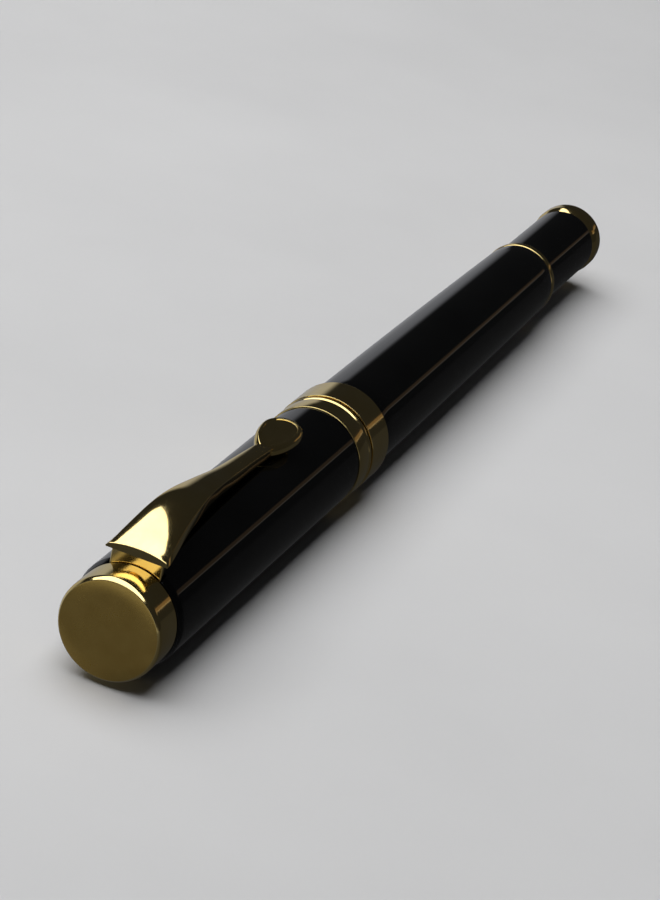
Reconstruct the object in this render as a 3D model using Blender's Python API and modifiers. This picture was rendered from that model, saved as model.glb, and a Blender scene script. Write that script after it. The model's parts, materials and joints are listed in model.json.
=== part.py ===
# Capped rollerball pen: black lacquered tubes, gold-plated trim, arched clip with a round end.
# The pen lies along X, cap end at -X, clip up (+Z), resting on its cap band at z = 0.
# S is the distance from the flat crown face along the pen; all lengths below are in millimetres.
from math import cos, pi, radians, sin

import bmesh
import bpy

MM = 0.001
LENGTH = 138.0
AXIS_HEIGHT = 5.66           # radius of the cap band, which the pen rests on
STEPS = 32

# cap
CROWN_R, CROWN_LENGTH = 5.2, 3.78
CAP_R, CAP_BORE_R, CAP_START, CAP_END = 5.47, 4.75, 4.1, 56.9
RING_R, BAND_R, BAND_SEAT_R = 5.6, 5.66, 5.0
RING_START, RING_END = 49.15, 52.48
BAND_START, BAND_END = 52.76, 57.36
LINER_R, LINER_BORE_R, LINER_START, LINER_END = 4.65, 4.25, 4.95, 30.0
STUD_R, STUD_END = 2.2, 10.4

# clip
CLIP_FRONT = 4.0
CLIP_WIDTH_AT_ROOT = 5.2
CLIP_ROOT_PLATE = (4.1, 4.75)
# the end plate is a drop: its widest place, height, half width, reach back and reach toward the blade
CLIP_END_S, CLIP_END_HEIGHT, CLIP_END_HALF, CLIP_END_TILT = 37.6, 7.43, 1.97, 8.0
CLIP_END_BACK, CLIP_END_NECK = 2.10, 4.6
# S, height of the blade's top edges over the pen axis, half width, crown, edge thickness,
# and how far its sides flare toward the underside
CLIP_BLADE = [
    (4.0, 6.55, 2.88, 0.34, 0.40, 0.42),
    (5.2, 6.95, 2.74, 0.36, 0.62, 0.36),
    (6.7, 7.44, 2.57, 0.38, 0.92, 0.24),
    (9.2, 8.10, 2.34, 0.36, 1.20, 0.10),
    (11.8, 8.54, 2.12, 0.32, 1.30, 0.04),
    (14.3, 8.68, 1.86, 0.28, 1.32, 0.0),
    (16.8, 8.54, 1.55, 0.24, 1.30, 0.0),
    (19.3, 8.30, 1.33, 0.20, 1.28, 0.0),
    (21.8, 7.97, 1.14, 0.17, 1.26, 0.0),
    (24.3, 7.70, 1.03, 0.15, 1.22, 0.0),
    (26.9, 7.50, 0.96, 0.13, 1.16, 0.0),
    (29.4, 7.29, 0.90, 0.11, 1.08, 0.0),
    (31.9, 7.04, 0.88, 0.08, 0.98, 0.0),
    (33.2, 6.90, 0.88, 0.04, 0.90, 0.0),
    (33.7, 6.87, 0.88, 0.02, 0.88, 0.0),
    (34.1, 6.74, 0.84, 0.0, 0.75, 0.0),
]

# barrel and tail
BARREL_START, BARREL_END = 57.6, 116.5
BARREL_R_START, BARREL_R_MID, BARREL_R_END = 5.1, 4.88, 4.5
STEP_R, STEP_START, STEP_END = 4.55, 116.6, 117.6
TAIL_R, TAIL_START, TAIL_END = 4.11, 117.7, 134.4
TAIL_SPIGOT_R, TAIL_SPIGOT_START = 3.75, 113.0
TAIL_CAP_R, TAIL_CAP_FRONT_R, TAIL_CAP_START, TAIL_CAP_WIDEST = 4.31, 3.95, 134.55, 135.5

# writing section and its thread
THREAD_PITCH, THREAD_CREST_R, THREAD_ROOT_R = 0.75, 3.62, 3.42
THREAD_START, THREAD_END = 58.0, 65.5
GRIP_START, GRIP_END = 23.7, 51.3
REFILL_BORE_R = 3.15

# refill
REFILL_R, REFILL_BODY_START, REFILL_END = 3.0, 28.1, 123.2
BALL_R, BALL_CENTRE = 0.35, 12.5

for old in list(bpy.data.objects):
    bpy.data.objects.remove(old, do_unlink=True)


def collection(name):
    made = bpy.data.collections.new(name)
    bpy.context.scene.collection.children.link(made)
    return made


PEN = collection("rollerball_pen")
CUTTERS = collection("pen_cutters")


def material(name, colour, roughness, metallic, coat=0.0):
    made = bpy.data.materials.new(name)
    made.use_nodes = True
    shader = made.node_tree.nodes["Principled BSDF"]
    shader.inputs["Base Color"].default_value = (*colour, 1.0)
    shader.inputs["Roughness"].default_value = roughness
    shader.inputs["Metallic"].default_value = metallic
    shader.inputs["Coat Weight"].default_value = coat
    made.diffuse_color = (*colour, 1.0)
    return made


def gold(name, roughness=0.14):
    return material(name, (0.83, 0.58, 0.20), roughness, 1.0)


def lacquer(name):
    return material(name, (0.006, 0.007, 0.008), 0.08, 0.0, 1.0)


def body_empty(name, s):
    """An empty on the pen's axis: the parts of one moving body hang on it."""
    made = bpy.data.objects.new(name, None)
    made.empty_display_size = 0.004
    made.location = ((s - LENGTH / 2) * MM, 0, AXIS_HEIGHT * MM)
    PEN.objects.link(made)
    made["s"] = s
    return made


def finish(obj, parent, mat, smooth=True):
    obj.data.materials.append(mat)
    if parent is not None:
        obj.parent = parent
    if smooth and obj.type == "MESH":
        obj.data.shade_smooth()
        obj.data.set_sharp_from_angle(angle=radians(35))
    return obj


def screw_mesh(name, profile, closed, steps, group):
    """A turned shape. The profile is (radius, S) pairs; its outer side runs from high S to low S."""
    mesh = bpy.data.meshes.new(name)
    points = [(r * MM, 0, s * MM) for r, s in profile]
    edges = [(i, i + 1) for i in range(len(points) - 1)]
    if closed:
        edges.append((len(points) - 1, 0))
    mesh.from_pydata(points, edges, [])
    obj = bpy.data.objects.new(name, mesh)
    group.objects.link(obj)
    screw = obj.modifiers.new("turn", "SCREW")
    screw.axis = "Z"
    screw.steps = screw.render_steps = steps
    screw.use_merge_vertices = True
    screw.merge_threshold = 0.00001
    screw.use_smooth_shade = True
    # the turning axis, local Z, lies along the pen
    # half a facet round, so that a flat facet and not an edge faces the table
    obj.rotation_mode = "ZYX"
    obj.rotation_euler = (radians(180) / steps, radians(90), 0)
    return obj


def turned(name, profile, parent, mat, closed=True, steps=STEPS):
    """A turned piece on the pen's axis, hung on its body's empty."""
    start = min(s for _, s in profile)
    obj = screw_mesh(name, [(r, s - start) for r, s in profile], closed, steps, PEN)
    obj.location = ((start - parent["s"]) * MM, 0, 0)
    return finish(obj, parent, mat, smooth=False)


def boolean(obj, other, operation):
    step = obj.modifiers.new(other.name, "BOOLEAN")
    step.operation = operation
    step.solver = "EXACT"
    step.object = other


def helper(obj):
    """A cutter, or a shape that is joined into another, isn't a piece of its own."""
    obj.hide_render = True
    obj.display_type = "WIRE"
    return obj


def box(name, low, high, group=CUTTERS):
    """A box between two corners, each (S, y, height over the axis)."""
    mesh = bpy.data.meshes.new(name)
    shape = bmesh.new()
    bmesh.ops.create_cube(shape, size=1.0)
    size = [(b - a) * MM for a, b in zip(low, high)]
    bmesh.ops.scale(shape, vec=size, verts=shape.verts)
    shape.to_mesh(mesh)
    shape.free()
    obj = bpy.data.objects.new(name, mesh)
    group.objects.link(obj)
    mid = [(a + b) / 2 for a, b in zip(low, high)]
    obj.location = ((mid[0] - LENGTH / 2) * MM, mid[1] * MM, (mid[2] + AXIS_HEIGHT) * MM)
    return obj


def world(s, y=0.0, height=0.0):
    return ((s - LENGTH / 2) * MM, y * MM, (AXIS_HEIGHT + height) * MM)


def arc(centre, radius, start, end, count):
    """(radius, S) points on a circular edge; angles from the radial direction toward +S."""
    out = []
    for i in range(count):
        a = radians(start + (end - start) * i / (count - 1))
        out.append((centre[0] + radius * cos(a), centre[1] + radius * sin(a)))
    return out


def quadratic(a, m, b, t):
    return a * (1 - t) * (1 - 2 * t) + 4 * m * t * (1 - t) + b * t * (2 * t - 1)


# ---------------------------------------------------------------- cap

def make_crown(parent):
    profile = [(0, STUD_END), (STUD_R - 0.2, STUD_END), (STUD_R, STUD_END - 0.2)]
    profile += [(STUD_R, CROWN_LENGTH), (CROWN_R - 0.06, CROWN_LENGTH), (CROWN_R, CROWN_LENGTH - 0.06)]
    profile += [(CROWN_R, 0.56), (CROWN_R - 0.22, 0.14), (CROWN_R - 0.36, 0), (0, 0)]
    turned("cap_finial", profile, parent, gold("crown_gold", 0.25), closed=False)


def make_cap_tube(parent):
    profile = [(BAND_SEAT_R, CAP_END), (BAND_SEAT_R, RING_START - 0.1), (CAP_R, RING_START - 0.1)]
    profile += [(CAP_R, CAP_START + 0.12), (CAP_R - 0.12, CAP_START)]
    profile += [(CAP_BORE_R, CAP_START), (CAP_BORE_R, 50.7), (CAP_BORE_R - 0.2, 50.9)]
    profile += [(CAP_BORE_R - 0.2, 51.4), (CAP_BORE_R - 0.05, 51.6), (CAP_BORE_R - 0.05, CAP_END)]
    tube = turned("cap_tube", profile, parent, lacquer("cap_lacquer"))
    half = CLIP_WIDTH_AT_ROOT / 2 + 0.12
    slot = box("cut_clip_slot", (3.0, -half, 3.6), (5.15, half, 8.0))
    boolean(tube, helper(slot), "DIFFERENCE")


def make_liner(parent):
    profile = [(0, 11.2), (2.4, 11.2), (LINER_BORE_R, 20.0), (LINER_BORE_R, LINER_END)]
    profile += [(LINER_R - 0.1, LINER_END), (LINER_R, LINER_END - 0.15), (LINER_R, LINER_START)]
    profile += [(STUD_R + 0.1, LINER_START), (STUD_R + 0.1, 10.7), (0, 10.7)]
    plastic = material("liner_plastic", (0.03, 0.03, 0.032), 0.45, 0.0)
    turned("inner_cap", profile, parent, plastic, closed=False)


def make_cap_bands(parent):
    bore = BAND_SEAT_R + 0.1
    # the ring carries a small rounded bead along its rear edge
    ring = [(RING_R - 0.16, RING_END), (RING_R, RING_END - 0.16), (RING_R, RING_END - 0.3)]
    ring += [(RING_R - 0.06, RING_END - 0.46), (RING_R - 0.22, RING_END - 0.64), (RING_R - 0.22, RING_END - 0.7)]
    ring += [(RING_R - 0.02, RING_END - 0.76), (RING_R - 0.02, RING_START + 0.2), (RING_R - 0.17, RING_START)]
    ring += [(bore, RING_START), (bore, RING_END)]
    turned("cap_lip_ring", ring, parent, gold("lip_ring_gold"))
    band = [(BAND_R - 0.15, BAND_END), (BAND_R, BAND_END - 0.18), (BAND_R, BAND_START + 0.15)]
    band += [(BAND_R - 0.12, BAND_START), (bore, BAND_START), (bore, CAP_END + 0.1)]
    band += [(CAP_BORE_R, CAP_END + 0.1), (CAP_BORE_R, BAND_END)]
    turned("cap_band", band, parent, gold("cap_band_gold"))


# ---------------------------------------------------------------- clip

def blade_section(shape, s, height, half, crown, edge, flare):
    """One cross-section of the blade: a crowned top, steep edges and a flat underside."""
    outline = [(-half - flare, height - edge), (-half, height)]
    outline += [(-0.55 * half, height + 0.72 * crown), (0.0, height + crown)]
    outline += [(0.55 * half, height + 0.72 * crown), (half, height), (half + flare, height - edge)]
    origin = CLIP_ROOT_PLATE[0] + 0.25
    return [shape.verts.new(((s - origin) * MM, y * MM, v * MM)) for y, v in outline]


def make_blade(mat, parent):
    """The blade is a loft through the sections of CLIP_BLADE."""
    shape = bmesh.new()
    rows = [blade_section(shape, *station) for station in CLIP_BLADE]
    for a, b in zip(rows, rows[1:]):
        for i in range(len(a)):
            j = (i + 1) % len(a)
            shape.faces.new((a[i], a[j], b[j], b[i]))
    shape.faces.new(list(reversed(rows[0])))
    shape.faces.new(rows[-1])
    bmesh.ops.recalc_face_normals(shape, faces=shape.faces)
    mesh = bpy.data.meshes.new("pocket_clip")
    shape.to_mesh(mesh)
    shape.free()
    blade = bpy.data.objects.new("pocket_clip", mesh)
    PEN.objects.link(blade)
    return finish(blade, parent, mat)


def drop_outline(inset, count):
    """(S, y) points of the end plate's outline, moved inward. It is round at the back and tapers to the blade."""
    out = []
    for i in range(count):
        a = 2 * pi * i / count
        if cos(a) >= 0:
            reach, width = CLIP_END_BACK - inset, sin(a)
        else:
            reach, width = CLIP_END_NECK - 2.2 * inset, sin(a) * abs(sin(a)) ** 0.5
        out.append((reach * cos(a), (CLIP_END_HALF - inset) * width))
    return out


def end_plate(name):
    """The clip's end: a shallow dish with a rounded rim, bulging sides and a rounded foot."""
    rings = [(1.75, -1.62), (1.3, -1.52), (0.3, -1.36), (-0.08, -1.12), (-0.2, -0.82), (-0.2, -0.55)]
    rings += [(-0.1, -0.22), (0.04, -0.04), (0.16, 0.0), (0.3, -0.04), (0.42, -0.18)]
    shape = bmesh.new()
    rows = [[shape.verts.new((x * MM, y * MM, z * MM)) for x, y in drop_outline(inset, 28)] for inset, z in rings]
    for a, b in zip(rows, rows[1:]):
        for i in range(len(a)):
            j = (i + 1) % len(a)
            shape.faces.new((a[i], a[j], b[j], b[i]))
    shape.faces.new(list(reversed(rows[0])))
    shape.faces.new(rows[-1])
    bmesh.ops.recalc_face_normals(shape, faces=shape.faces)
    mesh = bpy.data.meshes.new(name)
    shape.to_mesh(mesh)
    shape.free()
    plate = bpy.data.objects.new(name, mesh)
    CUTTERS.objects.link(plate)
    plate.rotation_euler = (0, radians(-CLIP_END_TILT), 0)
    plate.location = world(CLIP_END_S, 0, CLIP_END_HEIGHT)
    return plate


def make_clip(parent):
    blade = make_blade(gold("clip_gold"), parent)
    half = CLIP_WIDTH_AT_ROOT / 2
    root = box("join_clip_root", (CLIP_ROOT_PLATE[0], -half, 2.9), (CLIP_ROOT_PLATE[1], half, 6.42))
    low, high = CLIP_ROOT_PLATE[0] + 0.06, CLIP_ROOT_PLATE[1] - 0.08
    loop = [(4.5, high), (4.5, low), (2.5, low), (2.5, high)]
    ring = screw_mesh("join_clip_ring", loop, True, STEPS, CUTTERS)
    ring.location = world(0)
    end = end_plate("join_clip_end")
    for piece in (root, ring, end):
        boolean(blade, helper(piece), "UNION")


# ---------------------------------------------------------------- barrel and tail

def make_barrel(parent):
    count = 8
    outer = [(BARREL_R_END - 0.08, BARREL_END), (BARREL_R_END, BARREL_END - 0.15)]
    for i in range(1, count):
        t = 1 - i / count
        s = BARREL_START + (BARREL_END - BARREL_START) * t
        outer.append((quadratic(BARREL_R_START, BARREL_R_MID, BARREL_R_END, t), s))
    outer += [(BARREL_R_START, BARREL_START + 0.3), (BARREL_R_START - 0.2, BARREL_START)]
    inner = [(4.3, BARREL_START), (4.3, 68.0), (3.85, 112.0), (3.85, BARREL_END)]
    turned("barrel_tube", outer + inner, parent, lacquer("barrel_lacquer"))
    brass = material("bush_brass", (0.70, 0.50, 0.22), 0.30, 1.0)
    bush = [(4.2, 66.5), (4.2, 57.8), (THREAD_CREST_R + 0.1, 57.8), (THREAD_CREST_R + 0.1, 66.5)]
    turned("barrel_thread_bush", bush, parent, brass)


def make_tail(parent):
    ring = [(STEP_R - 0.12, STEP_END), (STEP_R, STEP_END - 0.15), (STEP_R, STEP_START + 0.15)]
    ring += [(STEP_R - 0.12, STEP_START), (TAIL_SPIGOT_R + 0.1, STEP_START), (TAIL_SPIGOT_R + 0.1, STEP_END)]
    turned("step_ring", ring, parent, gold("step_ring_gold"))
    tube = [(TAIL_R - 0.08, TAIL_END), (TAIL_R, TAIL_END - 0.12), (TAIL_R, TAIL_START)]
    tube += [(TAIL_SPIGOT_R, TAIL_START), (TAIL_SPIGOT_R, TAIL_SPIGOT_START)]
    tube += [(REFILL_BORE_R + 0.05, TAIL_SPIGOT_START), (REFILL_BORE_R + 0.05, TAIL_END)]
    turned("tail_tube", tube, parent, lacquer("tail_lacquer"))
    plug = [(3.1, 134.2), (3.1, 127.8), (STUD_R + 0.1, 127.8), (STUD_R + 0.1, 134.2)]
    steel = material("plug_steel", (0.55, 0.54, 0.52), 0.35, 1.0)
    turned("tail_plug", plug, parent, steel)
    rounded = arc((TAIL_CAP_R - 1.1, LENGTH - 1.1), 1.1, 90, 0, 6)
    # the cap flares from the tube to its widest place, then rounds off
    head = [(0, LENGTH)] + rounded + [(TAIL_CAP_R, TAIL_CAP_WIDEST), (TAIL_CAP_FRONT_R, TAIL_CAP_START)]
    head += [(STUD_R, TAIL_CAP_START)]
    head += [(STUD_R, 129.7), (STUD_R - 0.2, 129.5), (0, 129.5)]
    turned("tail_finial", head, parent, gold("tail_gold"), closed=False)


def coil_points(start, end, radius, turns, per_turn):
    """Points of a compression spring along the pen, with half a flat turn at each end."""
    out = []
    count = int(turns * per_turn)
    for i in range(count + 1):
        turn = i / per_turn
        t = min(max((turn - 0.5) / (turns - 1.0), 0.0), 1.0)
        angle = 2 * pi * turn
        out.append((start + (end - start) * t, radius * cos(angle), radius * sin(angle)))
    return out


def wire(name, points, radius, parent, mat, smooth_ends=True):
    """A bent wire: a curve with a round bevel and filled caps."""
    data = bpy.data.curves.new(name, "CURVE")
    data.dimensions = "3D"
    data.bevel_depth = radius * MM
    data.bevel_resolution = 2
    data.use_fill_caps = smooth_ends
    spline = data.splines.new("POLY")
    spline.points.add(len(points) - 1)
    for point, (s, y, z) in zip(spline.points, points):
        point.co = ((s - parent["s"]) * MM, y * MM, z * MM, 1.0)
    obj = bpy.data.objects.new(name, data)
    PEN.objects.link(obj)
    obj.data.materials.append(mat)
    obj.parent = parent
    return obj


def make_refill_spring(parent):
    steel = material("spring_steel", (0.58, 0.57, 0.55), 0.28, 1.0)
    points = coil_points(123.7, 127.3, 2.6, 4.5, 12)
    wire("refill_spring", points, 0.18, parent, steel)


# ---------------------------------------------------------------- writing section

def make_grip(parent):
    outer = [(4.25, GRIP_END), (4.35, GRIP_END - 0.2), (4.3, 44.0), (4.18, 36.0), (4.1, 29.0)]
    outer += [(4.08, GRIP_START + 0.2), (4.0, GRIP_START)]
    inner = [(3.6, GRIP_START), (3.6, 28.7), (REFILL_BORE_R + 0.1, 28.7), (REFILL_BORE_R + 0.1, 46.8)]
    inner += [(3.65, 46.8), (3.65, GRIP_END)]
    turned("grip_sleeve", outer + inner, parent, lacquer("grip_lacquer"))


def make_nose(parent):
    outer = [(3.5, 28.4), (3.5, 23.6), (3.95, 23.6), (3.98, 23.2), (3.6, 20.4), (2.9, 17.0)]
    outer += [(2.1, 14.4), (1.62, 13.4), (1.5, 13.3)]
    inner = [(1.3, 13.3), (1.3, 16.9), (2.35, 17.6), (2.35, 25.8), (REFILL_BORE_R, 25.8), (REFILL_BORE_R, 28.4)]
    turned("nose_cone", outer + inner, parent, gold("nose_gold"))


def make_coupling(parent):
    """The threaded tube that screws the section into the barrel; its thread is cut as rings."""
    outer = [(THREAD_ROOT_R, THREAD_END)]
    turns = int(round((THREAD_END - THREAD_START) / THREAD_PITCH)) - 1
    for i in range(turns):
        top = THREAD_END - 0.15 - i * THREAD_PITCH
        outer += [(THREAD_CREST_R, top - 0.25), (THREAD_CREST_R, top - 0.35), (THREAD_ROOT_R, top - 0.6)]
    outer += [(3.45, THREAD_START), (3.45, 54.85), (4.3, 54.85), (4.4, 54.7), (4.4, 52.95)]
    outer += [(3.9, 52.95), (3.9, 52.15), (4.4, 52.15), (4.4, 51.6), (4.3, 51.45), (3.55, 51.45), (3.55, 47.0)]
    inner = [(REFILL_BORE_R, 47.0), (REFILL_BORE_R, THREAD_END)]
    brass = material("coupling_brass", (0.74, 0.53, 0.23), 0.24, 1.0)
    turned("section_coupling", outer + inner, parent, brass)


def make_trim_ring(parent):
    profile = [(4.35, 57.45), (4.5, 57.3), (4.5, 55.15), (4.35, 55.0), (3.72, 55.0), (3.72, 57.45)]
    turned("section_collar", profile, parent, gold("collar_gold"))


def make_snap_ring(parent):
    """A split wire ring in the coupling's groove."""
    count = 30
    points = []
    for i in range(count + 1):
        a = radians(-76 + 332 * i / count)
        points.append((52.55, 4.22 * cos(a), 4.22 * sin(a)))
    steel = material("snap_steel", (0.60, 0.59, 0.57), 0.22, 1.0)
    wire("snap_ring", points, 0.25, parent, steel)


# ---------------------------------------------------------------- refill

def make_refill(parent):
    shell = material("refill_shell", (0.62, 0.62, 0.62), 0.32, 1.0)
    tube = [(REFILL_R, 122.1), (REFILL_R, REFILL_BODY_START), (2.7, REFILL_BODY_START), (2.7, 122.1)]
    turned("refill_tube", tube, parent, shell, steps=24)
    dark = material("refill_plug_plastic", (0.02, 0.02, 0.025), 0.4, 0.0)
    plug = [(0, REFILL_END), (2.8, REFILL_END), (REFILL_R, REFILL_END - 0.2), (REFILL_R, 122.2)]
    plug += [(2.58, 122.2), (2.58, 118.7), (0, 118.7)]
    turned("refill_plug", plug, parent, dark, closed=False, steps=24)
    plastic = material("refill_neck_plastic", (0.05, 0.05, 0.055), 0.35, 0.0)
    neck = [(2.58, 31.5), (2.58, 28.0), (REFILL_R, 28.0), (REFILL_R, 26.1), (2.1, 26.1), (2.0, 20.5)]
    neck += [(1.2, 18.2), (1.2, 16.95), (0.95, 16.95), (0.95, 20.0), (0.6, 20.0), (0.6, 31.5)]
    turned("refill_neck", neck, parent, plastic, steps=24)
    nickel = material("tip_nickel", (0.68, 0.66, 0.62), 0.2, 1.0)
    tip = [(0.85, 19.8), (0.85, 16.85), (1.12, 16.85), (1.12, 15.4), (0.62, 13.0), (0.5, 12.35)]
    tip += [(0.42, 12.35), (0.42, 13.2), (0.2, 13.4), (0.2, 19.8)]
    turned("refill_tip", tip, parent, nickel, steps=20)


def make_ball(parent):
    mesh = bpy.data.meshes.new("writing_ball")
    shape = bmesh.new()
    bmesh.ops.create_uvsphere(shape, u_segments=16, v_segments=8, radius=BALL_R * MM)
    shape.to_mesh(mesh)
    shape.free()
    ball = bpy.data.objects.new("writing_ball", mesh)
    PEN.objects.link(ball)
    finish(ball, parent, material("ball_carbide", (0.45, 0.45, 0.46), 0.12, 1.0))


cap = body_empty("cap_body", 52.55)
make_crown(cap)
make_cap_tube(cap)
make_liner(cap)
make_cap_bands(cap)
make_clip(body_empty("clip_body", CLIP_ROOT_PLATE[0] + 0.25))

barrel = body_empty("barrel_body", 57.6)
make_barrel(barrel)
make_tail(barrel)
make_refill_spring(barrel)

section = body_empty("section_body", 57.6)
make_grip(section)
make_nose(section)
make_coupling(section)
make_trim_ring(body_empty("trim_body", 57.6))
make_snap_ring(body_empty("snap_body", 52.55))

make_refill(body_empty("refill_body", 26.1))
make_ball(body_empty("ball_body", BALL_CENTRE))
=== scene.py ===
"""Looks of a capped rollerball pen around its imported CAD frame.

The pen lies along X with its crown at -X and its clip up (+Z). Profiles are in
millimetres: x along the pen from its middle, r from its axis.
"""
import json
from math import cos, pi, radians, sin, tan

import bmesh
import bpy
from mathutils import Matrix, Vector

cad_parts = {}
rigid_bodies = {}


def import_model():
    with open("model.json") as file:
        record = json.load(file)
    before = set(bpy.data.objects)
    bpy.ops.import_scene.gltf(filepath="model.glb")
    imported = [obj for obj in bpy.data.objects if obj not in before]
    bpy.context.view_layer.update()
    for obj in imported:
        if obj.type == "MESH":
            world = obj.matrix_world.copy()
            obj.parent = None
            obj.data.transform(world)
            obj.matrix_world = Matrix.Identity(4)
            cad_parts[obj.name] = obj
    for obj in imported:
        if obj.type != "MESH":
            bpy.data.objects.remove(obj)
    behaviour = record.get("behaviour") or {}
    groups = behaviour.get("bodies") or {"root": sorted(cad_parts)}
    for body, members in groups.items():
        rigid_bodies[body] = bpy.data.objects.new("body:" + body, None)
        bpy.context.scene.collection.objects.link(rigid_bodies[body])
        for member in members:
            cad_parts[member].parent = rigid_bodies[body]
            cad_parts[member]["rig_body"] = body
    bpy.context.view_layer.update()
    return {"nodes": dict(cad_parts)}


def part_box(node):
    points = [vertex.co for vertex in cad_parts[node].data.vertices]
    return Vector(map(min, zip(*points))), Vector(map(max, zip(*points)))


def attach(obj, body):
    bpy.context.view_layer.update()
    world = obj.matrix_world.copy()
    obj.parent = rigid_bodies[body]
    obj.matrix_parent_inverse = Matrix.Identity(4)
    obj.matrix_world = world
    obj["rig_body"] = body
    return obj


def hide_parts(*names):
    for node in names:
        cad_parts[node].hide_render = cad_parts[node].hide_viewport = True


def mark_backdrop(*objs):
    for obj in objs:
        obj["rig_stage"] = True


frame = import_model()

MM = 0.001
TURNS = 192                    # facets round a visible turned piece
HIDDEN_TURNS = 96              # facets round a piece inside the pen
ARC_STEP = radians(15)         # facets round a rounded edge

# dimensions inside the pen, which the boxes of the CAD nodes don't give
CAP_BORE, BAND_SEAT = 4.75, 5.0
STUD, LINER_BORE = 2.2, 4.25
REFILL_BORE = 3.15
THREAD_PITCH, THREAD_CREST, THREAD_ROOT = 0.75, 3.62, 3.42

# clip: distance behind the crown's face, height of its edges over the axis, half width
# between them, crown of its top, depth of its sides, how far they flare outward
CLIP_STATIONS = (
    (4.0, 6.55, 2.88, 0.34, 0.40, 0.42),
    (5.2, 6.95, 2.74, 0.36, 0.62, 0.36),
    (6.7, 7.44, 2.57, 0.38, 0.92, 0.24),
    (9.2, 8.10, 2.34, 0.36, 1.20, 0.10),
    (11.8, 8.54, 2.12, 0.32, 1.30, 0.04),
    (14.3, 8.68, 1.86, 0.28, 1.32, 0.0),
    (16.8, 8.54, 1.55, 0.24, 1.30, 0.0),
    (19.3, 8.30, 1.33, 0.20, 1.28, 0.0),
    (21.8, 7.97, 1.14, 0.17, 1.26, 0.0),
    (24.3, 7.70, 1.03, 0.15, 1.22, 0.0),
    (26.9, 7.50, 0.96, 0.13, 1.16, 0.0),
    (29.4, 7.29, 0.90, 0.11, 1.08, 0.0),
    (31.9, 7.04, 0.88, 0.08, 0.98, 0.0),
    (33.2, 6.90, 0.88, 0.04, 0.90, 0.0),
    (34.1, 6.80, 0.84, 0.0, 0.80, 0.0),
)
LIP_LEAN = 0.36
CLIP_ROOT = (4.1, 4.75, 2.6)           # front, back and half width of the root under the blade
CLIP_END = (37.6, 7.43, 1.97)          # place, height and half width of the drop-shaped end
CLIP_END_BACK, CLIP_END_NECK, CLIP_END_TILT = 2.10, 4.6, 8.0
EDGE_SOFTNESS = 0.07                   # rounding of the blade's front edge
FAIRING = 1.1                          # reach over which the blade's curves are averaged


def span(node):
    """(start, end, radius) of a turned CAD node, in millimetres."""
    low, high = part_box(node)
    return low.x / MM, high.x / MM, (high.y - low.y) / 2 / MM


AXIS_Z = sum(v.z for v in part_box("cap_band")) / 2
FACE_X = span("cap_finial")[0]         # the crown's flat face


# ---------------------------------------------------------------- mesh helpers

def rounded(corners, closed, arc_steps=None):
    """Points of an outline given as (x, r, rounding) corners."""
    points = []
    count = len(corners)
    for i, (x, r, radius) in enumerate(corners):
        here = Vector((x, r))
        if not radius or (not closed and i in (0, count - 1)):
            points.append(here)
            continue
        before = (Vector(corners[i - 1][:2]) - here).normalized()
        after = (Vector(corners[(i + 1) % count][:2]) - here).normalized()
        half = before.angle(after) / 2
        reach = radius / tan(half)
        centre = here + (before + after).normalized() * radius / sin(half)
        a, b = here + before * reach - centre, here + after * reach - centre
        steps = arc_steps or max(2, round((pi - 2 * half) / ARC_STEP))
        turn = a.angle_signed(b)
        for k in range(steps + 1):
            t = -turn * k / steps
            points.append(centre + Vector((a.x * cos(t) - a.y * sin(t), a.x * sin(t) + a.y * cos(t))))
    return points


def add_object(name, shape, smooth_angle=32):
    bmesh.ops.recalc_face_normals(shape, faces=shape.faces)
    mesh = bpy.data.meshes.new(name)
    shape.to_mesh(mesh)
    shape.free()
    mesh.shade_smooth()
    mesh.set_sharp_from_angle(angle=radians(smooth_angle))
    obj = bpy.data.objects.new(name, mesh)
    bpy.context.scene.collection.objects.link(obj)
    return obj


def even_normals(obj):
    """Large faces keep their own normals beside small rounded edges."""
    step = obj.modifiers.new("even_normals", "WEIGHTED_NORMAL")
    step.keep_sharp = True
    return obj


def turned_shape(points, closed, steps):
    """A closed body: the outline of (x, r) points turned round the pen's axis."""
    shape = bmesh.new()
    rings = []
    for x, r in points:
        if r < 1e-6:
            rings.append([shape.verts.new((x * MM, 0, AXIS_Z))] * steps)
            continue
        angles = [2 * pi * i / steps for i in range(steps)]
        rings.append([shape.verts.new((x * MM, r * MM * cos(a), AXIS_Z + r * MM * sin(a))) for a in angles])
    pairs = list(zip(rings, rings[1:]))
    if closed:
        pairs.append((rings[-1], rings[0]))
    for a, b in pairs:
        for i in range(steps):
            j = (i + 1) % steps
            corners = [a[i], a[j], b[j], b[i]]
            shape.faces.new(list(dict.fromkeys(corners)))
    return shape


def turned(node, corners, closed=True, steps=TURNS):
    """A fine turned piece that stands for a CAD node."""
    shape = turned_shape(rounded(corners, closed), closed, steps)
    obj = even_normals(add_object(node + "_fine", shape))
    return stand_for(obj, node)


def stand_for(obj, node):
    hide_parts(node)
    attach(obj, frame["nodes"][node]["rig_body"])
    return obj


def boolean(obj, other, operation):
    """Applies a Boolean at once and removes the other shape."""
    step = obj.modifiers.new("cut", "BOOLEAN")
    step.operation = operation
    step.solver = "EXACT"
    step.object = other
    bpy.context.view_layer.update()
    graph = bpy.context.evaluated_depsgraph_get()
    mesh = bpy.data.meshes.new_from_object(obj.evaluated_get(graph))
    obj.modifiers.remove(step)
    old = obj.data
    obj.data = mesh
    bpy.data.meshes.remove(old)
    bpy.data.objects.remove(other, do_unlink=True)
    return obj


def box_shape(low, high):
    """A box between two corners, each (x, y, height over the axis)."""
    shape = bmesh.new()
    bmesh.ops.create_cube(shape, size=1.0)
    for v in shape.verts:
        at = [(a + b) / 2 + (b - a) * c for a, b, c in zip(low, high, v.co)]
        v.co = (at[0] * MM, at[1] * MM, AXIS_Z + at[2] * MM)
    return shape


# ---------------------------------------------------------------- cap

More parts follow.
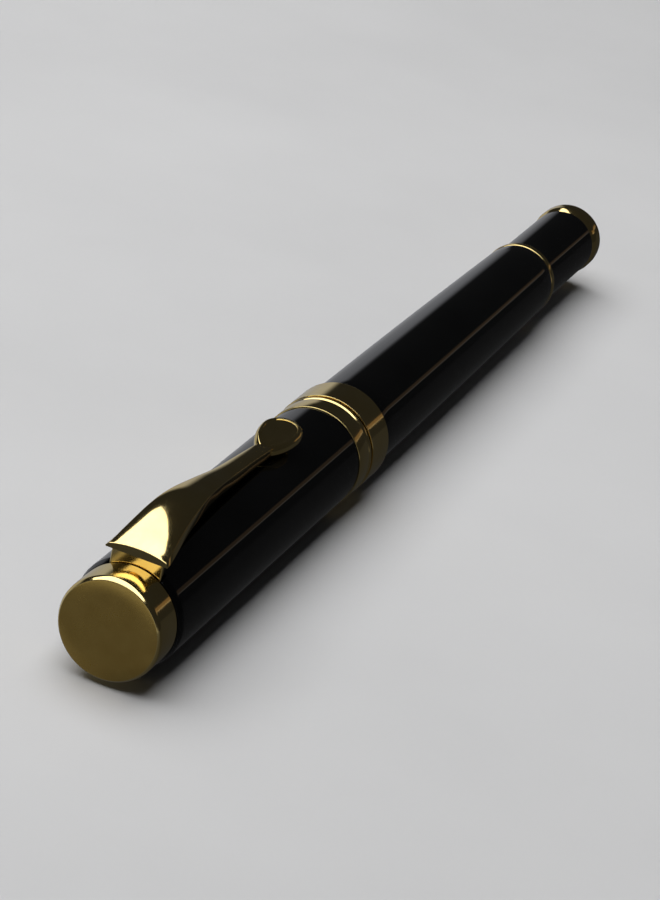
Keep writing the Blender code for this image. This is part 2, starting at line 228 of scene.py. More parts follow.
def make_crown():
    a, b, r = span("cap_finial")
    back = b - 6.47                     # the head's back; the stud runs on into the cap
    head = [(a, 0, 0), (a, r - 1.2, 5.0), (a + 0.16, r - 0.42, 0.06), (a + 0.2, r - 0.26, 0.1)]
    head += [(a + 0.56, r, 0.6), (back, r, 0.07), (back, STUD, 0), (b, STUD, 0.2), (b, 0, 0)]
    return turned("cap_finial", head, closed=False)


def make_cap_tube():
    a, b, r = span("cap_tube")
    seat = span("cap_lip_ring")[0] - 0.1
    catch = b - 5.8                     # the rib that the snap ring passes
    corners = [(a, r - 0.24, 0.04), (a + 0.75, r, 0.5), (seat, r, 0.04), (seat, BAND_SEAT, 0), (b, BAND_SEAT, 0)]
    corners += [(b, CAP_BORE - 0.05, 0), (catch + 0.6, CAP_BORE - 0.05, 0.1), (catch + 0.3, CAP_BORE - 0.2, 0.1)]
    corners += [(catch, CAP_BORE - 0.2, 0.1), (catch - 0.4, CAP_BORE, 0.1), (a, CAP_BORE, 0.06)]
    tube = turned("cap_tube", corners)
    tube.modifiers.clear()
    half = CLIP_ROOT[2] + 0.12
    slot = add_object("cut_slot", box_shape((a - 1.1, -half, 3.6), (a + 1.05, half, 8.0)))
    boolean(tube, slot, "DIFFERENCE")
    tube.data.set_sharp_from_angle(angle=radians(32))
    return even_normals(tube)


def make_liner():
    a, b, r = span("inner_cap")
    stud_end = FACE_X + 10.7
    corners = [(stud_end + 0.5, 0, 0), (stud_end + 0.5, 2.4, 0.3), (FACE_X + 20, LINER_BORE, 0.6)]
    corners += [(b, LINER_BORE, 0.1), (b, r, 0.15), (a, r, 0.2), (a, STUD + 0.1, 0)]
    corners += [(stud_end, STUD + 0.1, 0), (stud_end, 0, 0)]
    return turned("inner_cap", corners, closed=False, steps=HIDDEN_TURNS)


def make_lip_ring():
    a, b, r = span("cap_lip_ring")
    bore = BAND_SEAT + 0.1
    corners = [(a, bore, 0), (a, r - 0.02, 0.07), (b - 0.76, r - 0.02, 0.05), (b - 0.7, r - 0.22, 0.04)]
    corners += [(b - 0.64, r - 0.22, 0.04), (b - 0.38, r, 0.2), (b, r, 0.16), (b, bore, 0)]
    return turned("cap_lip_ring", corners)


def make_cap_band():
    a, b, r = span("cap_band")
    bore = BAND_SEAT + 0.1
    shoulder = span("cap_tube")[1] + 0.1
    corners = [(a, bore, 0), (a, r, 0.05), (b, r, 0.16), (b, CAP_BORE, 0.1)]
    corners += [(shoulder, CAP_BORE, 0), (shoulder, bore, 0)]
    return turned("cap_band", corners)


# ---------------------------------------------------------------- clip

def between(table, at):
    """A row of the table at a distance, on a smooth curve through its rows."""
    last = len(table) - 1
    i = max(k for k in range(last) if table[k][0] <= at or k == 0)
    rows = [table[min(max(k, 0), last)] for k in (i - 1, i, i + 1, i + 2)]
    width = rows[2][0] - rows[1][0]
    t = (at - rows[1][0]) / width
    out = []
    for before, a, b, after in zip(*rows):
        slope_a = (b - before) * width / (rows[2][0] - rows[0][0])
        slope_b = (after - a) * width / (rows[3][0] - rows[1][0])
        out.append(a * (1 + 2 * t) * (1 - t) ** 2 + slope_a * t * (1 - t) ** 2
                   + b * t * t * (3 - 2 * t) - slope_b * t * t * (1 - t))
    return out


def faired(table, at):
    """The same curve averaged over a short reach, so that reflections run along it without kinks."""
    reach = min(FAIRING, at - table[0][0], table[-1][0] - at)
    rows = [between(table, at + reach * k / 3) for k in range(-3, 4)]
    return [sum(values) / len(rows) for values in zip(*rows)]


def clip_section(height, half, crown, depth, low_half, inset=0.0):
    """(y, z) points round one cross-section: crowned top, small rounded edges, sides."""
    edge = 0.13
    low = height - depth
    corners = [(-low_half, low, 0.08), (-half, height - 0.02, edge)]
    count = 10
    for k in range(1, count):
        y = -half + 2 * half * k / count
        corners.append((y, height + crown * (1 - (y / half) ** 2), 0))
    corners += [(half, height - 0.02, edge), (low_half, low, 0.08)]
    points = rounded(corners, True, 6)
    middle = Vector((0, height - depth / 2))
    return [p - (p - middle).normalized() * inset for p in points]


def make_clip():
    """The blade, with the root plate, its ring and the drop-shaped end joined to it."""
    shape = bmesh.new()
    first, last = CLIP_STATIONS[0][0], CLIP_STATIONS[-1][0]
    sections = []
    soft = EDGE_SOFTNESS
    for k in range(4):
        turn = radians(30 * k)
        s = first + soft * (1 - cos(turn))
        _, height, half, crown, depth, flare = between(CLIP_STATIONS, s)
        sections.append((s, clip_section(height, half, crown, depth, half + flare, soft * (1 - sin(turn)))))
    count = 110
    for k in range(1, count + 1):
        s = first + soft + (last - first - soft) * k / count
        _, height, half, crown, depth, flare = faired(CLIP_STATIONS, s)
        sections.append((s, clip_section(height, half, crown, depth, half + flare)))
    rings = []
    for s, points in sections:
        top = max(z for _, z in points)
        lean = LIP_LEAN * max(0, 1 - (s - first) / 0.4)      # the lip's front leans out at its foot
        rings.append([shape.verts.new(((FACE_X + s - lean * (top - z)) * MM, y * MM, AXIS_Z + z * MM))
                      for y, z in points])
    for a, b in zip(rings, rings[1:]):
        for i in range(len(a)):
            j = (i + 1) % len(a)
            shape.faces.new((a[i], a[j], b[j], b[i]))
    shape.faces.new(rings[0])
    shape.faces.new(rings[-1])
    clip = add_object("pocket_clip_fine", shape)
    front, back, half = CLIP_ROOT
    root = box_shape((FACE_X + front, -half, 2.9), (FACE_X + back, half, 6.44))
    bmesh.ops.bevel(root, geom=root.edges[:], offset=0.16 * MM, segments=5, profile=0.5, affect="EDGES")
    boolean(clip, add_object("join_root", root), "UNION")
    boolean(clip, clip_end(), "UNION")
    ring = turned_shape([Vector((FACE_X + 4.16, 2.5)), Vector((FACE_X + 4.16, 4.5)),
                         Vector((FACE_X + 4.67, 4.5)), Vector((FACE_X + 4.67, 2.5))], True, HIDDEN_TURNS)
    boolean(clip, add_object("join_ring", ring), "UNION")
    clip.data.set_sharp_from_angle(angle=radians(28))
    return stand_for(even_normals(clip), "pocket_clip")


def drop_outline(inset, count):
    """(along, across) points of the end's outline, moved inward: round at the back, tapering to the blade."""
    out = []
    half = CLIP_END[2]
    for i in range(count):
        a = 2 * pi * i / count
        if cos(a) >= 0:
            reach, width = CLIP_END_BACK - inset, sin(a)
        else:
            reach, width = CLIP_END_NECK - 2.2 * inset, sin(a) * abs(sin(a)) ** 0.5
        out.append((reach * cos(a), (half - inset) * width))
    return out


def clip_end():
    """The clip's end: a shallow dish with a rounded rim, bulging sides and a rounded foot."""
    s, height, _ = CLIP_END
    corners = [(0.42, -0.07, 0), (0.35, -0.07, 0.02), (0.32, 0.0, 0.02), (0.06, 0.0, 0.15), (-0.2, -0.32, 0.35)]
    corners += [(-0.2, -0.9, 0.35), (0.3, -1.38, 0.3), (1.3, -1.54, 0.3), (1.75, -1.62, 0)]
    tilt = radians(CLIP_END_TILT)
    shape = bmesh.new()
    rings = []
    for inset, z in rounded(corners, False):
        ring = []
        for x, y in drop_outline(inset, 144):
            at = (FACE_X + s + x * cos(tilt) - z * sin(tilt), y, height + x * sin(tilt) + z * cos(tilt))
            ring.append(shape.verts.new((at[0] * MM, at[1] * MM, AXIS_Z + at[2] * MM)))
        rings.append(ring)
    for a, b in zip(rings, rings[1:]):
        for i in range(len(a)):
            j = (i + 1) % len(a)
            shape.faces.new((a[i], a[j], b[j], b[i]))
    shape.faces.new(rings[0])
    shape.faces.new(rings[-1])
    return add_object("join_end", shape)


# ---------------------------------------------------------------- barrel and tail

def make_barrel():
    a, b, r = span("barrel_tube")
    middle, end = 4.88, 4.5
    count = 24
    outer = []
    for i in range(1, count):
        t = i / count
        radius = r * (1 - t) * (1 - 2 * t) + 4 * middle * t * (1 - t) + end * t * (2 * t - 1)
        outer.append((a + (b - a) * t, radius, 0))
    corners = [(a, r, 0.2)] + outer + [(b, end, 0.1), (b, 3.85, 0), (b - 4.5, 3.85, 0)]
    corners += [(a + 10.4, 4.3, 0), (a, 4.3, 0.1)]
    return turned("barrel_tube", corners)


def make_bush():
    a, b, r = span("barrel_thread_bush")
    bore = THREAD_CREST + 0.1
    corners = [(a, r, 0.1), (b, r, 0.1), (b, bore, 0.1), (a, bore, 0.15)]
    return turned("barrel_thread_bush", corners, steps=HIDDEN_TURNS)


def make_step_ring():
    a, b, r = span("step_ring")
    return turned("step_ring", [(a, 3.85, 0), (a, r, 0.16), (b, r, 0.16), (b, 3.85, 0)])


def make_tail_tube():
    a, b, r = span("tail_tube")
    shoulder = span("step_ring")[1] + 0.1
    bore = REFILL_BORE + 0.05
    corners = [(a, 3.75, 0.1), (shoulder, 3.75, 0), (shoulder, r, 0.08), (b, r, 0.1), (b, bore, 0), (a, bore, 0)]
    return turned("tail_tube", corners)


def make_tail_plug():
    a, b, r = span("tail_plug")
    corners = [(a, r, 0.15), (b, r, 0.1), (b, STUD + 0.1, 0), (a, STUD + 0.1, 0.1)]
    return turned("tail_plug", corners, steps=HIDDEN_TURNS)


def make_tail_finial():
    a, b, r = span("tail_finial")
    head = a + 5.05                     # it flares from here to its widest place
    corners = [(b, 0, 0), (b, r, 1.1), (head + 0.95, r, 0.8), (head, r - 0.36, 0.06)]
    corners += [(head, STUD, 0), (a, STUD, 0.2), (a, 0, 0)]
    return turned("tail_finial", corners, closed=False)


# ---------------------------------------------------------------- writing section

def make_grip():
    a, b, _ = span("grip_sleeve")
    corners = [(a, 4.08, 0.1), (a + 5.3, 4.1, 9), (a + 12.3, 4.18, 9), (a + 20.3, 4.3, 9)]
    corners += [(b - 0.2, 4.35, 0.1), (b, 4.25, 0), (b, 3.65, 0), (b - 4.5, 3.65, 0)]
    corners += [(b - 4.5, REFILL_BORE + 0.1, 0), (a + 5, REFILL_BORE + 0.1, 0)]
    corners += [(a + 5, 3.6, 0), (a, 3.6, 0.05)]
    return turned("grip_sleeve", corners)


def make_nose():
    a, b, r = span("nose_cone")
    corners = [(a, 1.3, 0.05), (a, 1.55, 0.08), (a + 1.1, 2.1, 3), (a + 3.7, 2.9, 9), (a + 7.1, 3.6, 5)]
    corners += [(a + 9.9, r, 0.2), (a + 10.3, 3.95, 0.05), (a + 10.3, 3.5, 0), (b, 3.5, 0.1), (b, REFILL_BORE, 0)]
    corners += [(a + 12.5, REFILL_BORE, 0), (a + 12.5, 2.35, 0), (a + 4.3, 2.35, 0), (a + 3.6, 1.3, 0)]
    return turned("nose_cone", corners)


def make_coupling():
    """The section's threaded tube, with a helical thread of the real pitch."""
    a, b, _ = span("section_coupling")
    crest = THREAD_CREST
    start, end = FACE_X + 58.0, b
    count, steps = 112, HIDDEN_TURNS
    rows = []
    corners = [(a, REFILL_BORE, 0), (a, 3.55, 0.1), (a + 4.45, 3.55, 0), (a + 4.45, 4.4, 0.12)]
    corners += [(a + 5.15, 4.4, 0.1), (a + 5.15, 3.9, 0.05), (a + 5.95, 3.9, 0.05), (a + 5.95, 4.4, 0.1)]
    corners += [(a + 7.85, 4.4, 0.12), (a + 7.85, 3.45, 0.05), (start, 3.45, 0)]
    for x, r in rounded(corners, False):
        rows.append([(x, r)] * steps)
    for k in range(1, count):
        x = start + (end - 0.1 - start) * k / count
        fade = min(1, (x - start) / 0.5, (end - x) / 0.7)
        row = []
        for i in range(steps):
            phase = ((x - start) / THREAD_PITCH - i / steps) % 1
            tooth = min(1, max(0, 1.5 - 4 * abs(phase - 0.5)))
            row.append((x, THREAD_ROOT + (crest - THREAD_ROOT) * tooth * fade))
        rows.append(row)
    rows += [[(end - 0.1, THREAD_ROOT)] * steps, [(end, THREAD_ROOT - 0.1)] * steps, [(end, REFILL_BORE)] * steps]
    shape = bmesh.new()
    rings = []
    for row in rows:
        ring = []
        for i, (x, r) in enumerate(row):
            angle = 2 * pi * i / steps
            ring.append(shape.verts.new((x * MM, r * MM * cos(angle), AXIS_Z + r * MM * sin(angle))))
        rings.append(ring)
    for a, b in zip(rings, rings[1:] + rings[:1]):
        for i in range(steps):
            j = (i + 1) % steps
            shape.faces.new((a[i], a[j], b[j], b[i]))
    return stand_for(even_normals(add_object("section_coupling_fine", shape)), "section_coupling")


def make_collar():
    a, b, r = span("section_collar")
    return turned("section_collar", [(a, 3.72, 0), (a, r, 0.25), (b, r, 0.25), (b, 3.72, 0)])


def make_snap_ring():
    """A split wire ring with rounded ends."""
    a, b, outer = span("snap_ring")
    wire = (b - a) / 2
    ring_r = 4.22
    x = (a + b) / 2
    shape = bmesh.new()
    rings = []
    count, sides = 90, 16
    reach = wire / ring_r
    first, turn = -76, 332              # where the wire starts and how far it goes round, in degrees
    domed = (0.2, 0.6, 1.0, 1.35)       # steps of each rounded end
    stops = [(radians(first) - reach * cos(t), sin(t)) for t in domed]
    stops += [(radians(first + turn * k / count), 1.0) for k in range(count + 1)]
    stops += [(radians(first + turn) + reach * cos(t), sin(t)) for t in reversed(domed)]
    for angle, size in stops:
        ring = []
        for i in range(sides):
            t = 2 * pi * i / sides
            r = ring_r + wire * size * cos(t)
            ring.append(shape.verts.new(((x + wire * size * sin(t)) * MM, r * MM * cos(angle),
                                         AXIS_Z + r * MM * sin(angle))))
        rings.append(ring)
    for a, b in zip(rings, rings[1:]):
        for i in range(sides):
            j = (i + 1) % sides
            shape.faces.new((a[i], a[j], b[j], b[i]))
    shape.faces.new(rings[0])
    shape.faces.new(rings[-1])
    return stand_for(add_object("snap_ring_fine", shape), "snap_ring")


# ---------------------------------------------------------------- refill

def make_refill():
    a, b, r = span("refill_tube")
    tube = turned("refill_tube", [(a, r, 0.1), (b, r, 0.1), (b, 2.7, 0), (a, 2.7, 0)], steps=HIDDEN_TURNS)
    a, b, r = span("refill_plug")
    skirt = b - 1.0
    corners = [(b, 0, 0), (b, r, 0.3), (skirt, r, 0), (skirt, 2.58, 0), (a, 2.58, 0.2), (a, 0, 0)]
    plug = turned("refill_plug", corners, closed=False, steps=HIDDEN_TURNS)
    a, b, r = span("refill_neck")
    front = a + 9.15
    corners = [(a, 1.2, 0.1), (a + 1.25, 1.2, 0.3), (a + 3.55, 2.0, 0.6), (front, 2.1, 0.3), (front, r, 0.2)]
    corners += [(front + 1.9, r, 0), (front + 1.9, 2.58, 0), (b, 2.58, 0.2), (b, 0.6, 0), (a + 3.05, 0.6, 0)]
    corners += [(a + 3.05, 0.95, 0), (a, 0.95, 0)]
    neck = turned("refill_neck", corners, steps=HIDDEN_TURNS)
    a, b, r = span("refill_tip")
    seat = FACE_X + 16.85
    corners = [(a, 0.42, 0), (a, 0.5, 0.03), (a + 0.65, 0.62, 0.3), (a + 3.05, r, 0.1), (seat, r, 0.04)]
    corners += [(seat, 0.85, 0), (b, 0.85, 0.05), (b, 0.2, 0), (a + 1.05, 0.2, 0), (a + 0.85, 0.42, 0)]
    tip = turned("refill_tip", corners, steps=HIDDEN_TURNS)
    return tube, plug, neck, tip


def make_ball():
    a, b, r = span("writing_ball")
    shape = bmesh.new()
    bmesh.ops.create_uvsphere(shape, u_segments=40, v_segments=20, radius=r * MM)
    for v in shape.verts:
        v.co += Vector(((a + b) / 2 * MM, 0, AXIS_Z))
    return stand_for(add_object("writing_ball_fine", shape, 60), "writing_ball")


# ---------------------------------------------------------------- materials

# painted reflection: the set brightness the floor shows only in the pen's polished sides, by place on the floor
PAINTED_SHADE_REFLECTION_NEAR = (0.028, 0.028, 0.028)        # painted shade beside the pen, on its right
PAINTED_REFLECTION_FAR = (0.34, 0.345, 0.36)           # painted bright reflection on the clip's left
PAINTED_REFLECTION_FRONT = (0.085, 0.085, 0.085)       # dimmer painted reflection close before the crown
PAINTED_REFLECTION_AHEAD = (0.26, 0.265, 0.25)         # painted reflection further ahead of it


class Nodes:
    """A short way to write a node tree."""

    def __init__(self, name):
        self.material = bpy.data.materials.new(name)
        self.material.use_nodes = True
        self.tree = self.material.node_tree
        self.shader = self.tree.nodes["Principled BSDF"]
        self.place = self.add("ShaderNodeTexCoord").outputs["Object"]

    def add(self, kind, links=None, **settings):
        made = self.tree.nodes.new(kind)
        for key, value in settings.items():
            setattr(made, key, value)
        for socket, value in (links or {}).items():
            self.put(made.inputs[socket], value)
        return made

    def put(self, socket, value):
        if isinstance(value, bpy.types.NodeSocket):
            self.tree.links.new(value, socket)
        else:
            socket.default_value = value

    def stretched(self, scale):
        """The place on the piece, scaled along X, Y and Z."""
        return self.add("ShaderNodeMapping", {"Vector": self.place, "Scale": scale}).outputs["Vector"]

    def noise(self, scale, detail=3.0, at=None, roughness=0.55):
        made = self.add("ShaderNodeTexNoise", {"Vector": at or self.place, "Scale": scale,
                                               "Detail": detail, "Roughness": roughness})
        return made.outputs["Fac"]

    def spread(self, value, low, high, start=0.35, end=0.65):
        """The value between start and end, spread over low to high."""
        made = self.add("ShaderNodeMapRange", {"Value": value, "From Min": start, "From Max": end,
                                               "To Min": low, "To Max": high})
        return made.outputs["Result"]

    def mixed(self, factor, a, b):
        made = self.add("ShaderNodeMix", {"Factor": factor}, data_type="RGBA")
        for socket, colour in ((6, a), (7, b)):
            self.put(made.inputs[socket], (*colour, 1.0) if isinstance(colour, tuple) else colour)
        return made.outputs[2]

    def plus(self, a, b, operation="ADD"):
        return self.add("ShaderNodeMath", {0: a, 1: b}, operation=operation).outputs["Value"]

    def bump(self, height, strength, distance, under=None):
        made = self.add("ShaderNodeBump", {"Height": height, "Strength": strength, "Distance": distance})
        if under is not None:
            self.put(made.inputs["Normal"], under)
        return made.outputs["Normal"]

    def set(self, **values):
        for key, value in values.items():
            self.put(self.shader.inputs[key.replace("_", " ").title().replace("Ior", "IOR")], value)
        return self.material

    def scratches(self, scale, along, threshold=0.66):
        """Fine hairlines: thin bands of a noise that is stretched along one way."""
        lines = self.noise(scale, 2.0, self.stretched(along), 0.7)
        return self.spread(lines, 0.0, 1.0, threshold, threshold + 0.06)


def gold(name, bright, deep, roughness=(0.07, 0.13), grain=0.02):
    """Polished gold plate: slightly uneven tone, wipe marks and fine hairlines."""
    n = Nodes(name)
    tone = n.spread(n.noise(260.0, 4.0), 0.0, 1.0)
    wipe = n.noise(90.0, 5.0, n.stretched((1.0, 2.6, 2.6)))
    hair = n.scratches(520.0, (1.0, 9.0, 9.0))
    rough = n.plus(n.spread(wipe, *roughness), n.plus(hair, 0.08, "MULTIPLY"))
    fine = n.bump(n.noise(2600.0, 3.0), grain, 0.00004)
    return n.set(base_color=n.mixed(tone, deep, bright), metallic=1.0, roughness=rough,
                 normal=n.bump(hair, 0.03, 0.00002, fine))


def satin_gold(name, bright, deep):
    """The crown's face: a fine matt grain over gold plate."""
    n = Nodes(name)
    grain = n.noise(5200.0, 4.0, None, 0.7)
    tone = n.spread(n.noise(420.0, 3.0), 0.0, 1.0)
    rough = n.plus(n.spread(grain, 0.15, 0.24), n.spread(n.noise(200.0, 3.0), 0.0, 0.05))
    return n.set(base_color=n.mixed(tone, deep, bright), metallic=1.0, roughness=rough,
                 normal=n.bump(grain, 0.16, 0.00003))


def lacquer(name):
    """Deep black lacquer under a clear gloss, with faint orange peel, dust and hairlines."""
    n = Nodes(name)
    tone = n.spread(n.noise(70.0, 4.0), 0.0, 1.0)
    peel = n.noise(420.0, 2.0)
    hair = n.scratches(420.0, (1.0, 14.0, 14.0), 0.72)
    dust = n.spread(n.noise(2400.0, 2.0), 0.0, 1.0, 0.76, 0.80)
    marks = n.plus(n.plus(hair, 0.04, "MULTIPLY"), n.plus(dust, 0.15, "MULTIPLY"))
    gloss = n.plus(n.spread(n.noise(120.0, 5.0), 0.012, 0.03), marks)
    return n.set(base_color=n.mixed(tone, (0.0006, 0.0007, 0.0008), (0.0016, 0.0017, 0.0018)),
                 roughness=n.spread(peel, 0.3, 0.4), coat_weight=1.0, coat_roughness=gloss, specular_ior_level=0.0,
                 coat_normal=n.bump(peel, 0.002, 0.00002), normal=n.bump(hair, 0.02, 0.00002))


def plastic(name, dark, light, roughness):
    """Moulded plastic with a fine spark-eroded texture."""
    n = Nodes(name)
    grain = n.noise(3600.0, 3.0)
    tone = n.spread(n.noise(160.0, 4.0), 0.0, 1.0)
    return n.set(base_color=n.mixed(tone, dark, light), roughness=n.spread(grain, *roughness),
                 normal=n.bump(grain, 0.12, 0.00004))


def machined(name, dark, light, roughness, line_scale=1900.0):
    """Turned metal: fine tool rings across the axis, uneven tone and a few handling marks."""
    n = Nodes(name)
    rings = n.noise(line_scale, 3.0, n.stretched((1.0, 0.02, 0.02)), 0.7)
    blotch = n.noise(310.0, 5.0)
    tone = n.spread(n.plus(n.plus(rings, 0.35, "MULTIPLY"), n.plus(blotch, 0.65, "MULTIPLY")), 0.0, 1.0, 0.4, 0.6)
    return n.set(base_color=n.mixed(tone, dark, light), metallic=1.0, roughness=n.spread(blotch, *roughness),
                 normal=n.bump(rings, 0.10, 0.00005))


def paper(name):
    """The plain pale surface that the pen lies on. Glossy rays see a painted reflection in its place: set glow
    values by place, dark beside the pen as painted shade, bright on the clip's left.
    """
    n = Nodes(name)
    fibre = n.plus(n.noise(900.0, 4.0, n.stretched((1.0, 1.6, 1.0))), n.noise(2600.0, 2.0), "MULTIPLY")
    tone = n.spread(n.noise(14.0, 4.0), 0.0, 1.0)
    pale = n.mixed(tone, (0.60, 0.60, 0.605), (0.64, 0.64, 0.645))
    n.set(base_color=pale, roughness=n.spread(fibre, 0.65, 0.8, 0.1, 0.4), specular_ior_level=0.25,
          normal=n.bump(fibre, 0.10, 0.0002))
    at = n.add("ShaderNodeSeparateXYZ", {0: n.place}).outputs
    # painted reflection: glossy rays get a set glow by place instead of the lit floor, darkest beside the pen as
    # painted shade
    painted_reflection_tone = n.mixed(n.spread(at["Y"], 0.0, 1.0, -0.002, 0.012), PAINTED_SHADE_REFLECTION_NEAR, PAINTED_REFLECTION_FAR)
    painted_reflection_tone = n.mixed(n.spread(at["X"], 0.0, 1.0, -0.074, -0.064), PAINTED_REFLECTION_FRONT, painted_reflection_tone)
    painted_reflection_tone = n.mixed(n.spread(at["X"], 0.0, 1.0, -0.17, -0.09), PAINTED_REFLECTION_AHEAD, painted_reflection_tone)
    painted_reflection_glow = n.add("ShaderNodeEmission", {"Color": painted_reflection_tone})
    switch = n.add("ShaderNodeMixShader", {0: n.add("ShaderNodeLightPath").outputs["Is Glossy Ray"]})
    n.put(switch.inputs[1], n.shader.outputs["BSDF"])
    n.put(switch.inputs[2], painted_reflection_glow.outputs["Emission"])
    n.put(n.tree.nodes["Material Output"].inputs["Surface"], switch.outputs["Shader"])
    return n.material


def dress(obj, *materials):
    obj.data.materials.clear()
    for m in materials:
        obj.data.materials.append(m)
    return obj


# ---------------------------------------------------------------- the pen

GOLD_BRIGHT, GOLD_DEEP = (0.95, 0.76, 0.35), (0.90, 0.69, 0.28)
trim = gold("trim_gold", GOLD_BRIGHT, GOLD_DEEP)
clip_gold = gold("clip_gold", GOLD_BRIGHT, GOLD_DEEP, (0.05, 0.10), 0.015)
crown_face = satin_gold("crown_face_gold", (0.90, 0.62, 0.18), (0.82, 0.55, 0.15))
black = lacquer("black_lacquer")
liner = plastic("liner_plastic", (0.022, 0.022, 0.024), (0.035, 0.035, 0.038), (0.38, 0.5))
neck_black = plastic("neck_plastic", (0.04, 0.04, 0.044), (0.06, 0.06, 0.065), (0.25, 0.36))
brass = machined("machined_brass", (0.60, 0.42, 0.17), (0.78, 0.57, 0.26), (0.18, 0.32))
steel = machined("plain_steel", (0.48, 0.47, 0.46), (0.64, 0.63, 0.61), (0.18, 0.3))
nickel = machined("nickel_silver", (0.60, 0.58, 0.54), (0.74, 0.72, 0.68), (0.12, 0.2), 4200.0)
carbide = machined("ball_metal", (0.38, 0.38, 0.39), (0.50, 0.50, 0.51), (0.06, 0.12))

crown = dress(make_crown(), trim, crown_face)
for face in crown.data.polygons:
    if face.normal.x < -0.95 and face.center.x < (FACE_X + 0.18) * MM:
        face.material_index = 1

for piece in (make_cap_tube(), make_barrel(), make_tail_tube(), make_grip()):
    dress(piece, black)
for piece in (make_lip_ring(), make_cap_band(), make_step_ring(), make_tail_finial(), make_nose(), make_collar()):
    dress(piece, trim)
dress(make_clip(), clip_gold)
dress(make_liner(), liner)
for piece in (make_bush(), make_coupling()):
    dress(piece, brass)
for piece in (make_tail_plug(), make_snap_ring()):
    dress(piece, steel)
dress(frame["nodes"]["refill_spring"], steel)
refill_tube, refill_plug, refill_neck, refill_tip = make_refill()
dress(refill_tube, steel)
dress(refill_plug, liner)
dress(refill_neck, neck_black)
dress(refill_tip, nickel)
dress(make_ball(), carbide)


# ---------------------------------------------------------------- stage, light and camera

def area_light(name, at, towards, size, radiance, colour=(1.0, 1.0, 1.0), lights="both"):
    """A rectangular soft light. Its power follows from its size and brightness."""
    data = bpy.data.lights.new(name, "AREA")
    data.shape = "RECTANGLE"
    data.size, data.size_y = size
    data.energy = radiance * pi * size[0] * size[1]
    data.color = colour
    obj = bpy.data.objects.new(name, data)
    bpy.context.scene.collection.objects.link(obj)
    obj.location = at
    obj.rotation_euler = (Vector(towards) - Vector(at)).to_track_quat("-Z", "Y").to_euler()
    obj.visible_diffuse = lights != "gloss"
    obj.visible_glossy = lights != "diffuse"
    return obj


def make_world():
    """A dark room with a low pale glow beyond the pen's tail, on the clip's left, and some before its crown."""
    world = bpy.data.worlds.new("soft_studio")
    world.use_nodes = True
    tree = world.node_tree

    def add(kind, **inputs):
        made = tree.nodes.new("ShaderNode" + kind)
        for socket, value in inputs.items():
            socket = made.inputs[int(socket[1:]) if socket[0] == "_" else socket]
            if isinstance(value, bpy.types.NodeSocket):
                tree.links.new(value, socket)
            else:
                socket.default_value = value
        return made

    def between_values(value, start, end):
        made = add("MapRange", Value=value)
        made.interpolation_type = "SMOOTHSTEP"
        made.inputs["From Min"].default_value, made.inputs["From Max"].default_value = start, end
        return made.outputs["Result"]

    def times(a, b):
        made = add("Math", _0=a, _1=b)
        made.operation = "MULTIPLY"
        return made.outputs["Value"]

    towards = add("SeparateXYZ", _0=add("TexCoord").outputs["Generated"])
    room = add("ValToRGB", Fac=towards.outputs["Z"])
    stops = ((0.0, 0.34), (0.05, 0.26), (0.13, 0.05), (0.3, 0.018))
    for k, (height, grey) in enumerate(stops):
        stop = room.color_ramp.elements[k] if k < 2 else room.color_ramp.elements.new(height)
        stop.position = height
        stop.color = (grey, grey, grey, 1.0)
    behind = add("Mix", _0=between_values(towards.outputs["X"], 0.0, -0.4))
    behind.data_type = "RGBA"
    behind.inputs[6].default_value = (0.018, 0.018, 0.018, 1.0)
    tree.links.new(room.outputs["Color"], behind.inputs[7])
    aside = add("VectorMath", _0=add("TexCoord").outputs["Generated"], _1=(-0.375, 0.927, 0.0))
    aside.operation = "DOT_PRODUCT"
    glow = times(between_values(aside.outputs["Value"], -0.03, 0.05), between_values(towards.outputs["X"], 0.0, 0.3))
    glow = times(glow, between_values(towards.outputs["Z"], 0.30, 0.16))
    both = add("Mix", _0=glow)
    both.data_type = "RGBA"
    tree.links.new(behind.outputs[2], both.inputs[6])
    both.inputs[7].default_value = (0.36, 0.365, 0.385, 1.0)
    tree.links.new(both.outputs[2], tree.nodes["Background"].inputs["Color"])
    bpy.context.scene.world = world


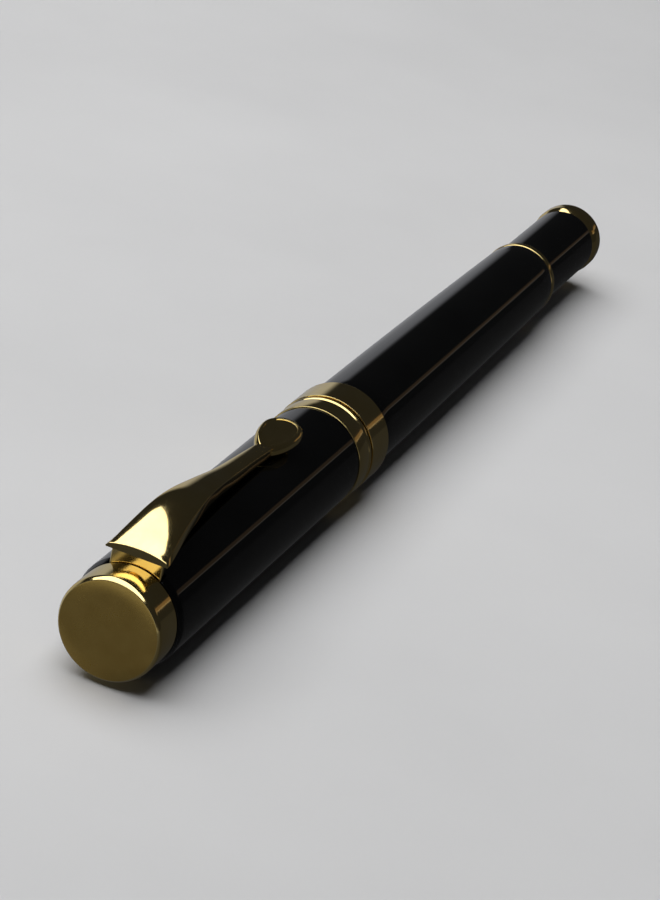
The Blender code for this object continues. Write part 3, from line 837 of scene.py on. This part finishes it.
def make_gloss_panel():
    """The softbox as the polished gold mirrors it: its outline gives the highlight on the clip its slanted sides."""
    material = bpy.data.materials.new("gloss_panel")
    material.use_nodes = True
    tree = material.node_tree
    tree.nodes.remove(tree.nodes["Principled BSDF"])
    light = tree.nodes.new("ShaderNodeEmission")
    light.inputs["Strength"].default_value = PANEL_RADIANCE
    tree.links.new(light.outputs["Emission"], tree.nodes["Material Output"].inputs["Surface"])
    shape = bmesh.new()
    shape.faces.new([shape.verts.new((x, y, PANEL_HEIGHT)) for x, y in PANEL_CORNERS])
    panel = add_object("gloss_panel", shape)
    panel.visible_camera = panel.visible_diffuse = panel.visible_shadow = False
    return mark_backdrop(dress(panel, material))


PANEL_HEIGHT, PANEL_RADIANCE = 0.6, 2.1
PANEL_CORNERS = ((-0.35, 0.95), (0.08, 0.95), (0.16, 0.70), (0.35, 0.49), (0.58, 0.49), (0.62, 0.44),
                 (0.20, 0.0), (-0.19, -0.42), (-0.35, -0.42))
FLOOR_DROP = 0.00002           # keeps the floor just clear of the pen
STRIP_AIM = (0.72, 0.0, 0.006)

floor_shape = bmesh.new()
bmesh.ops.create_grid(floor_shape, x_segments=2, y_segments=2, size=3.0)
floor = add_object("pale_floor", floor_shape)
floor.location.z = -FLOOR_DROP
dress(floor, paper("pale_paper_painted_reflection"))

make_world()
area_light("overhead_softbox", (-0.02, 0.20, 0.62), (-0.02, 0.06, 0.0), (0.86, 0.78), 2.9, lights="diffuse")
area_light("side_strip", (0.72, -0.36, 0.17), STRIP_AIM, (0.9, 0.056), 0.14, (1.0, 0.64, 0.34), lights="gloss")
area_light("side_line", (0.72, -0.355, 0.142), STRIP_AIM, (0.9, 0.010), 0.22, (1.0, 0.95, 0.86), lights="gloss")
area_light("crown_fill", (-0.8, 0.2, 0.5), (-0.06, 0.0, 0.01), (0.5, 0.3), 1.0, lights="gloss")
make_gloss_panel()
bpy.context.scene.view_settings.view_transform = "Standard"

camera = bpy.data.objects.new("camera", bpy.data.cameras.new("camera"))
camera.location = (-0.31128, -0.08975, 0.14249)
camera.rotation_euler = [radians(a) for a in (65.518, -11.525, -68.031)]
camera.data.lens = 129.52
camera.data.clip_start = 0.01
bpy.context.scene.collection.objects.link(camera)
bpy.context.scene.camera = camera
